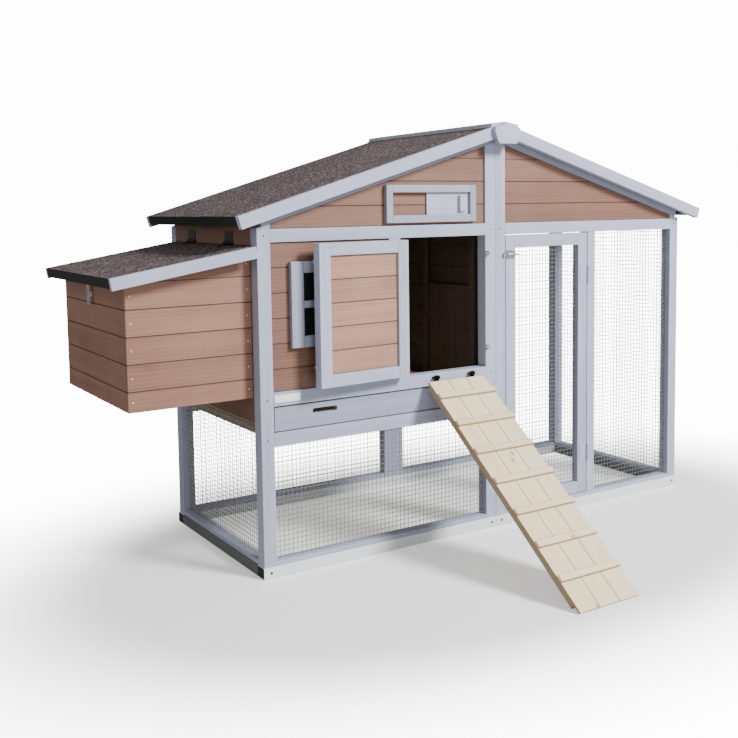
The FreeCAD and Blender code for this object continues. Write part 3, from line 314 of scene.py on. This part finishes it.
# mesh tools
def solidsOf(node):
    # splits a CAD node's loose triangles into its closed solids, in the order they lie in the mesh: each
    # directed edge adds a random key of its two corners and its reverse takes the same key away, so the
    # running sum is zero where a shell has just closed
    mesh = nodes[node].data
    corners = np.empty(len(mesh.loops), dtype=np.int32)
    mesh.loops.foreach_get("vertex_index", corners)
    spots = np.empty(len(mesh.vertices) * 3, dtype=np.float32)
    mesh.vertices.foreach_get("co", spots)
    spots = spots.reshape(-1, 3)[corners]
    places, ids = np.unique(spots, axis=0, return_inverse=True)
    triangles = ids.reshape(-1, 3)
    keys = np.random.default_rng(5).integers(1, 2 ** 62, size=(2, len(places)), dtype=np.int64)
    after = np.roll(triangles, -1, axis=1)
    low, high = np.minimum(triangles, after), np.maximum(triangles, after)
    with np.errstate(over="ignore"):
        signed = np.where(triangles < after, 1, -1) * (keys[0][low] * keys[1][high])
        running = np.cumsum(signed.sum(axis=1))
    ends = np.flatnonzero(running == 0) + 1
    starts = np.concatenate([[0], ends[:-1]])
    return [(places, triangles[start:end]) for start, end in zip(starts, ends)]


def solidBoxes(node):
    boxes = []
    for places, triangles in solidsOf(node):
        used = places[np.unique(triangles)]
        boxes.append((used.min(axis=0), used.max(axis=0)))
    return boxes


def register(piece, body, slot, finish=None, node=None):
    # gives a piece its finish, the slot's own unless another is given, puts it under its body and hides the
    # node it stands for
    piece.data.materials.append(finish or finishes[slot])
    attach(piece, body)
    if node:
        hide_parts(node)
    return piece


def newPiece(name, verts, faces, body, slot, finish=None, node=None):
    mesh = bpy.data.meshes.new(name)
    mesh.from_pydata(np.asarray(verts).tolist(), [], [list(face) for face in faces])
    mesh.validate()
    piece = bpy.data.objects.new(name, mesh)
    bpy.context.scene.collection.objects.link(piece)
    return register(piece, body, slot, finish, node)


easedAngle = math.radians(35.0)  # corners sharper than this are eased


def bevelled(piece, width, steps):
    modifier = piece.modifiers.new("easedEdges", "BEVEL")
    modifier.width = width
    modifier.segments = steps
    modifier.limit_method = "ANGLE"
    modifier.angle_limit = easedAngle
    modifier.use_clamp_overlap = True
    return piece


def read(items, field, width=1, kind=np.float32):
    # one field of a mesh's vertices, edges, corners or faces as a whole array
    values = np.empty(len(items) * width, dtype=kind)
    items.foreach_get(field, values)
    return values.reshape(-1, width) if width > 1 else values


boards = {
    "grainTowards": (0.57, 0.59, 0.58),  # the side that grain runs towards, so like boards agree
    "flatWithin": math.radians(0.6),  # faces closer than this in direction are joined
    "bareEdgeRise": 0.6,  # a felt face whose normal rises less than this is a bare cut edge
    "shift": 20.0,  # how far a board's grain is moved at random, in metres
}


def grainFrame(points, edges, normals, areas):
    # one board's axes: along its longest straight edge, across its widest face, and out of that face
    lengths = np.linalg.norm((points[edges[:, 1]] - points[edges[:, 0]]).astype(float), axis=1)
    first, last = edges[int(np.argmax(lengths))]
    along = Vector(points[last] - points[first]).normalized()
    along = along * (1 if along.dot(Vector(boards["grainTowards"])) >= 0 else -1)
    out = Vector(normals[int(np.argmax(areas))])
    out = (out - along * out.dot(along)).normalized()
    return np.array((along, out.cross(along).normalized(), out))


def joinedSolid(places, triangles, slim):
    # one closed solid with its flat faces joined, and its corners drawn in along their normals by slim
    used, local = np.unique(triangles, return_inverse=True)
    mesh = bpy.data.meshes.new("joined")
    mesh.from_pydata(places[used].tolist(), [], local.reshape(-1, 3).tolist())
    part = bmesh.new()
    part.from_mesh(mesh)
    part.normal_update()
    bmesh.ops.dissolve_limit(part, angle_limit=boards["flatWithin"], verts=part.verts,
                             edges=part.edges)
    part.normal_update()
    normals = [face.normal.copy() for face in part.faces]
    areas = [face.calc_area() for face in part.faces]
    part.to_mesh(mesh)
    part.free()
    points = read(mesh.vertices, "co", 3) - read(mesh.vertices, "normal", 3) * np.float32(slim)
    axes = grainFrame(points, read(mesh.edges, "vertices", 2, np.int32), normals, areas)
    corners = read(mesh.loops, "vertex_index", kind=np.int32)
    sizes = read(mesh.polygons, "loop_total", kind=np.int32)
    bpy.data.meshes.remove(mesh)
    return points, corners, sizes, axes


def easedCopy(node, width=0.0012, steps=2, edgeTone=False, blackedBelow=None, finish=None, slim=0.0):
    # stands for a node: each solid is merged, its flat faces joined, its edges eased and grain laid along it
    points, polygons, owners, frames = [], [], [], []
    for number, (places, triangles) in enumerate(solidsOf(node)):
        own, corners, sizes, axes = joinedSolid(places, triangles, slim)
        shift = chance.uniform(-boards["shift"], boards["shift"], 3)
        tone = float(chance.uniform(0, 1))
        across = own @ axes[1]
        frames.append((axes, shift, tone, (across.max() + across.min()) / 2, np.ptp(across) / 2))
        start = sum(map(len, points))
        polygons += np.split(corners + start, np.cumsum(sizes)[:-1])
        owners += [number] * len(sizes)
        points.append(own)
    mesh = bpy.data.meshes.new(node + "_eased")
    mesh.from_pydata(np.concatenate(points).tolist(), [], [face.tolist() for face in polygons])
    layCorners(mesh, np.array(owners), frames, edgeTone, blackedBelow)
    piece = bpy.data.objects.new(node + "_eased", mesh)
    bpy.context.scene.collection.objects.link(piece)
    register(piece, bodyOf[node], slotOf[node], finish, node)
    return bevelled(piece, width, steps)


def layCorners(mesh, owners, frames, edgeTone, blackedBelow):
    # every face corner's place along its own board's axes plus the board's shift, its tone, and its
    # distance across the board from the middle, beside half the board's width
    corners = read(mesh.loops, "vertex_index", kind=np.int32)
    places = read(mesh.vertices, "co", 3)[corners].astype(float)
    sizes = read(mesh.polygons, "loop_total", kind=np.int32)
    solid = np.repeat(owners, sizes)
    axes, shifts, tones, middles, halves = (np.array(column)[solid] for column in zip(*frames))
    turned = np.einsum("cij,cj->ci", axes, places)
    if edgeTone:
        rise = np.abs(read(mesh.polygons, "normal", 3)[:, 2])
        tones = np.repeat(rise < boards["bareEdgeRise"], sizes).astype(float)
    edge = np.stack([turned[:, 1] - middles, halves, np.zeros(len(solid))], axis=1)
    layers = [("grainPlace", "FLOAT_VECTOR", "vector", turned + shifts), ("tone", "FLOAT", "value", tones),
              ("boardEdge", "FLOAT_VECTOR", "vector", edge)]
    # the blacked layer marks faces turned near black, on some parts as painted shade
    if blackedBelow is not None:
        centres = np.add.reduceat(places[:, 0], np.cumsum(sizes) - sizes) / sizes
        dark = np.repeat(centres < blackedBelow, sizes).astype(float)
        layers.append(("blacked", "FLOAT", "value", dark))
    for name, kind, field, given in layers:
        layer = mesh.attributes.new(name, kind, "CORNER")
        layer.data.foreach_set(field, np.ascontiguousarray(given, dtype=np.float32).ravel())


wire = {"pitch": 0.0127, "radius": 0.0008, "tuck": 0.004, "sides": 6}


def weldedWire(node):
    # straight wires both ways over each flat panel, the two sets one wire apart in depth; each wire is a
    # ring of corners, radius times the cosine and sine round its axis, at its two ends
    pitch, radius, tuck, sides = (wire[key] for key in ("pitch", "radius", "tuck", "sides"))
    verts, faces = [], []
    turn = np.arange(sides) * 2 * math.pi / sides
    for low, high in solidBoxes(node):
        thin = int(np.argmin(high - low))
        flat = [axis for axis in range(3) if axis != thin]
        middle = (low[thin] + high[thin]) / 2
        for run, cross, depth in ((flat[0], flat[1], middle - radius), (flat[1], flat[0], middle + radius)):
            span = high[cross] - low[cross]
            count = int(span // pitch)
            first = low[cross] + (span - count * pitch) / 2
            at = first + pitch * np.arange(count + 1)
            ring = np.zeros((len(at), 2, sides, 3))
            ring[:, 0, :, run] = low[run] - tuck
            ring[:, 1, :, run] = high[run] + tuck
            ring[..., cross] = at[:, None, None] + radius * np.cos(turn)
            ring[..., thin] = depth + radius * np.sin(turn)
            start = len(verts) + np.arange(len(at))[:, None] * 2 * sides
            near = start + np.arange(sides)
            nextTo = start + (np.arange(sides) + 1) % sides
            quads = np.stack([near, nextTo, nextTo + sides, near + sides], axis=-1).reshape(-1, 4)
            verts.extend(ring.reshape(-1, 3).tolist())
            faces.extend(quads.tolist())
            faces.extend(near[:, ::-1].tolist())
            faces.extend((near + sides).tolist())
    piece = newPiece(node + "_wires", verts, faces, bodyOf[node], slotOf[node], node=node)
    fixed = bmesh.new()
    fixed.from_mesh(piece.data)
    bmesh.ops.recalc_face_normals(fixed, faces=fixed.faces)
    fixed.to_mesh(piece.data)
    fixed.free()
    return piece


screwHead = {"radius": 0.0036, "rise": 0.0011, "recess": 0.0007, "sides": 14, "sunk": 0.0004}


def screws(name, body, spots, out, size=1.0, finish="screw_dark"):
    # low domed screw heads: a short profile of radius and height turned about each screw's own axis
    out = Vector(out).normalized()
    side = out.orthogonal().normalized()
    up = out.cross(side)
    r, h, dip = (screwHead[key] * size for key in ("radius", "rise", "recess"))
    profile = np.array([(r, -screwHead["sunk"]), (r, h * 0.35), (r * 0.86, h * 0.82), (r * 0.5, h),
                        (r * 0.34, h * 0.96), (r * 0.2, h - dip), (r * 0.02, h - dip)])
    turn = np.arange(screwHead["sides"]) * 2 * math.pi / screwHead["sides"]
    ring = (profile[:, None, 0, None] * (np.cos(turn)[None, :, None] * np.array(side)
            + np.sin(turn)[None, :, None] * np.array(up)) + profile[:, None, 1, None] * np.array(out))
    rows, sides = len(profile), screwHead["sides"]
    index = np.arange(rows * sides).reshape(rows, sides)
    nextTo = np.roll(index, -1, axis=1)
    quads = np.stack([index[:-1], nextTo[:-1], nextTo[1:], index[1:]], axis=-1).reshape(-1, 4)
    caps = np.stack([index[-1], index[0][::-1]])
    base = np.arange(len(spots))[:, None, None] * rows * sides
    verts = (np.array(spots)[:, None, :] + ring.reshape(1, -1, 3)).reshape(-1, 3)
    faces = (base + quads).reshape(-1, 4).tolist() + (base + caps).reshape(-1, sides).tolist()
    return newPiece(name, verts, faces, body, "zinc_hardware", finishes[finish])


# timber, felt and hardware
boardEdge = {"front_wall_boards": 0.0016, "front_gable_boards": 0.0016, "left_wall_boards": 0.0016,
             "back_wall_boards": 0.0016, "coop_door_boards": 0.0014, "nest_boards": 0.0018,
             "partition_boards": 0.0012}
# base_strips_ends take near-black painted shade, roof_rafters take grey_shaded, painted shade under the
# eaves, and the wall and gable boards take wall_boards, painted shade from the roof overhang
ownFinish = {"coop_door_boards": "door_boards", "window_frame": "grey_shaded", "tray_front": "tray_grey",
             "base_strips_ends": "end_strip_painted_shade", "roof_rafters": "grey_shaded",
             "ridge_end_plates": "grey_timber",
             "nest_boards": "nest_boards", "vent_frame": "vent_grey", "front_gable_boards": "wall_boards",
             "front_wall_boards": "wall_boards", "left_wall_boards": "wall_boards"}
paintedHinges = ("fixed_hinge_leaves", "coop_door_hinge_leaves", "run_door_hinge_leaves")
# faces whose centre lies left of the given x turn near black: on the long base strips' left end faces and the
# nest lid's hinge leaves this is painted shade; the ramp hooks and eyes turn near black all over
blackedTo = {"base_strips_long": -0.6003, "fixed_hinge_leaves": -0.585, "nest_lid_hinge_leaves": 9.0,
             "ramp_hooks": 9.0, "ramp_eyes": 9.0}
edgeWidth = {"timber": 0.0012, "metal": 0.0003, "felt": 0.0009, "label": 0.0004}
boltSlim = 0.00014  # a bolt's copy is drawn in this far all round, so its facets clear the housing
for node in nodes:
    slot = slotOf[node]
    if slot in ("welded_wire", "clear_pane"):
        continue
    if slot == "zinc_hardware":
        finish = finishes["painted_steel"] if node in paintedHinges else None
        easedCopy(node, edgeWidth["metal"], steps=1, blackedBelow=blackedTo.get(node), finish=finish,
                  slim=boltSlim if node.endswith("_bolt") else 0.0)
    elif node == "label_plate":
        easedCopy(node, edgeWidth["label"], finish=finishes["label"])
    elif node in ownFinish:
        easedCopy(node, boardEdge.get(node, edgeWidth["timber"]), finish=finishes[ownFinish[node]])
    elif slot == "mineral_felt":
        easedCopy(node, edgeWidth["felt"], edgeTone=True)
    else:
        easedCopy(node, boardEdge.get(node, edgeWidth["timber"]), blackedBelow=blackedTo.get(node))
nodes["window_pane"].data.materials.clear()
nodes["window_pane"].data.materials.append(finishes["clear_pane"])
for node in ("house_mesh", "run_mesh", "run_door_mesh"):
    weldedWire(node)
print("timber, felt, wire and hardware made")


# screws
screwPlan = {"small": 0.62, "fromEnd": 0.012, "thinBoard": 0.02, "endBand": 0.002, "leastRise": 0.03}


def makeScrews():
    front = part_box("front_corner_posts")
    faceY = front[0][1]
    railZ = [(low[2] + high[2]) / 2 for low, high in solidBoxes("house_front_rails")]
    postX = [(low[0] + high[0]) / 2 for low, high in solidBoxes("front_corner_posts")]
    centreX = [(low[0] + high[0]) / 2 for low, high in solidBoxes("front_centre_posts")]
    spots = [(postX[0], faceY, z) for z in railZ[1:]] + [(centreX[0], faceY, z) for z in railZ[1:]]
    spots += [(x, faceY, max(railZ)) for x in (centreX[1], postX[1])]
    screws("post_screws", "coop", spots, (0, -1, 0), screwPlan["small"])
    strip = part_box("base_strips_long")
    spots = [(x, strip[0][1], (strip[0][2] + strip[1][2]) / 2) for x in postX + centreX]
    screws("strip_screws", "coop", spots, (0, -1, 0))
    spots = []
    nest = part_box("nest_boards")
    nestMiddle = (nest[0][1] + nest[1][1]) / 2
    for places, triangles in solidsOf("nest_boards"):
        used = places[np.unique(triangles)]
        low, high = used.min(axis=0), used.max(axis=0)
        if high[1] - low[1] > screwPlan["thinBoard"]:
            continue
        for end, inward in ((low[0], screwPlan["fromEnd"]), (high[0], -screwPlan["fromEnd"])):
            heights = used[np.abs(used[:, 0] - end) < screwPlan["endBand"]][:, 2]
            if np.ptp(heights) > screwPlan["leastRise"]:
                y, way = (low[1], -1) if low[1] < nestMiddle else (high[1], 1)
                spots.append(((end + inward, y, float(heights.min() + np.ptp(heights) / 2)), way))
    for way in (-1, 1):
        chosen = [spot for spot, side in spots if side == way]
        name = "nest_screws_front" if way < 0 else "nest_screws_back"
        screws(name, "coop", chosen, (0, way, 0), screwPlan["small"], "filler")


makeScrews()
print("screws made")

# floor, light and camera
studio = {"floorColor": (0.42, 0.42, 0.43), "floorSeen": (0.93, 0.93, 0.92), "floorHalf": 14.0,
          "floorDrop": 0.0006, "floorSpread": (0.62, 1.0, 0.0), "fade": (0.58, 1.25), "glowNear": 0.03,
          "worldLight": 0.26, "backdrop": 14.0}


def makeFloor():
    half, drop = studio["floorHalf"], -studio["floorDrop"]
    mesh = bpy.data.meshes.new("floor")
    mesh.from_pydata([(-half, -half, drop), (half, -half, drop), (half, half, drop), (-half, half, drop)],
                     [], [(0, 1, 2, 3)])
    floor = bpy.data.objects.new("floor", mesh)
    bpy.context.scene.collection.objects.link(floor)
    # near the coop the floor takes its light and shade; further out it fades into the white backdrop
    shade = Shade("paleFloor")
    shade.feed(shade.shader.inputs["Emission Strength"], studio["backdrop"])
    seen = shade.node("ShaderNodeLightPath", out="Is Camera Ray")
    spread = shade.scaled(shade.objectPlace(), studio["floorSpread"])
    away = shade.node("ShaderNodeVectorMath", {"operation": "LENGTH"}, {0: spread}, out="Value")
    glow = seen * (studio["glowNear"] + (1 - studio["glowNear"]) * away.step(*studio["fade"]))
    shade.feed(shade.shader.inputs["Emission Color"], shade.mix(glow, (0, 0, 0), (1, 1, 1)))
    tint = shade.mix(seen, studio["floorColor"], studio["floorSeen"])
    mesh.materials.append(shade.finish(color=tint, rough=0.9))


lights = {"key": ((2.4, -4.6, 4.2), (0.0, 0.0, 0.5), 1.7, 760.0),
          "fill": ((-3.6, -3.4, 3.4), (-0.2, 0.0, 0.5), 2.6, 26.0),
          "side": ((-5.0, 0.8, 1.5), (-0.9, 0.0, 0.6), 2.4, 32.0),
          "front": ((-0.6, -5.5, 0.9), (0.0, 0.0, 0.5), 2.6, 60.0)}  # place, target, size, watts


def areaLight(name, place, target, size, power):
    light = bpy.data.lights.new(name, "AREA")
    light.shape = "DISK"
    light.size = size
    light.energy = power
    lamp = bpy.data.objects.new(name, light)
    lamp.location = place
    lamp.rotation_euler = (Vector(target) - Vector(place)).to_track_quat("-Z", "Y").to_euler()
    bpy.context.scene.collection.objects.link(lamp)


def makeWorld():
    world = bpy.data.worlds.new("studioWorld")
    world.use_nodes = True
    background = world.node_tree.nodes["Background"]
    background.inputs["Color"].default_value = (1.0, 1.0, 1.0, 1.0)
    tree = world.node_tree
    seen = tree.nodes.new("ShaderNodeLightPath").outputs["Is Camera Ray"]
    strength = tree.nodes.new("ShaderNodeMapRange")
    strength.inputs["To Min"].default_value = studio["worldLight"]
    strength.inputs["To Max"].default_value = studio["backdrop"]
    tree.links.new(seen, strength.inputs["Value"])
    tree.links.new(strength.outputs["Result"], background.inputs["Strength"])
    bpy.context.scene.world = world


cameraLook = {"place": (-1.6446, -2.1763, 0.9214), "yaw": 32.21, "pitch": -4.98, "roll": -0.82,
              "lens": 48.15, "shiftY": -0.102}


def makeCamera():
    # looks along a yaw from +Y towards +X and a pitch, then rolls about that line
    yaw, pitch, roll = (math.radians(cameraLook[key]) for key in ("yaw", "pitch", "roll"))
    ahead = Vector((math.sin(yaw) * math.cos(pitch), math.cos(yaw) * math.cos(pitch), math.sin(pitch)))
    right = Vector((math.cos(yaw), -math.sin(yaw), 0.0))
    up = right.cross(ahead)
    rolledRight = right * math.cos(roll) + up * math.sin(roll)
    rolledUp = up * math.cos(roll) - right * math.sin(roll)
    data = bpy.data.cameras.new("camera")
    data.lens = cameraLook["lens"]
    data.sensor_width = 36.0
    data.shift_y = cameraLook["shiftY"]
    camera = bpy.data.objects.new("camera", data)
    turned = Matrix((rolledRight, rolledUp, -ahead)).transposed().to_4x4()
    camera.matrix_world = Matrix.Translation(Vector(cameraLook["place"])) @ turned
    bpy.context.scene.collection.objects.link(camera)
    bpy.context.scene.camera = camera


makeFloor()
makeWorld()
for name, (place, target, size, power) in lights.items():
    areaLight(name, place, target, size, power)
makeCamera()
print("floor, light and camera made")
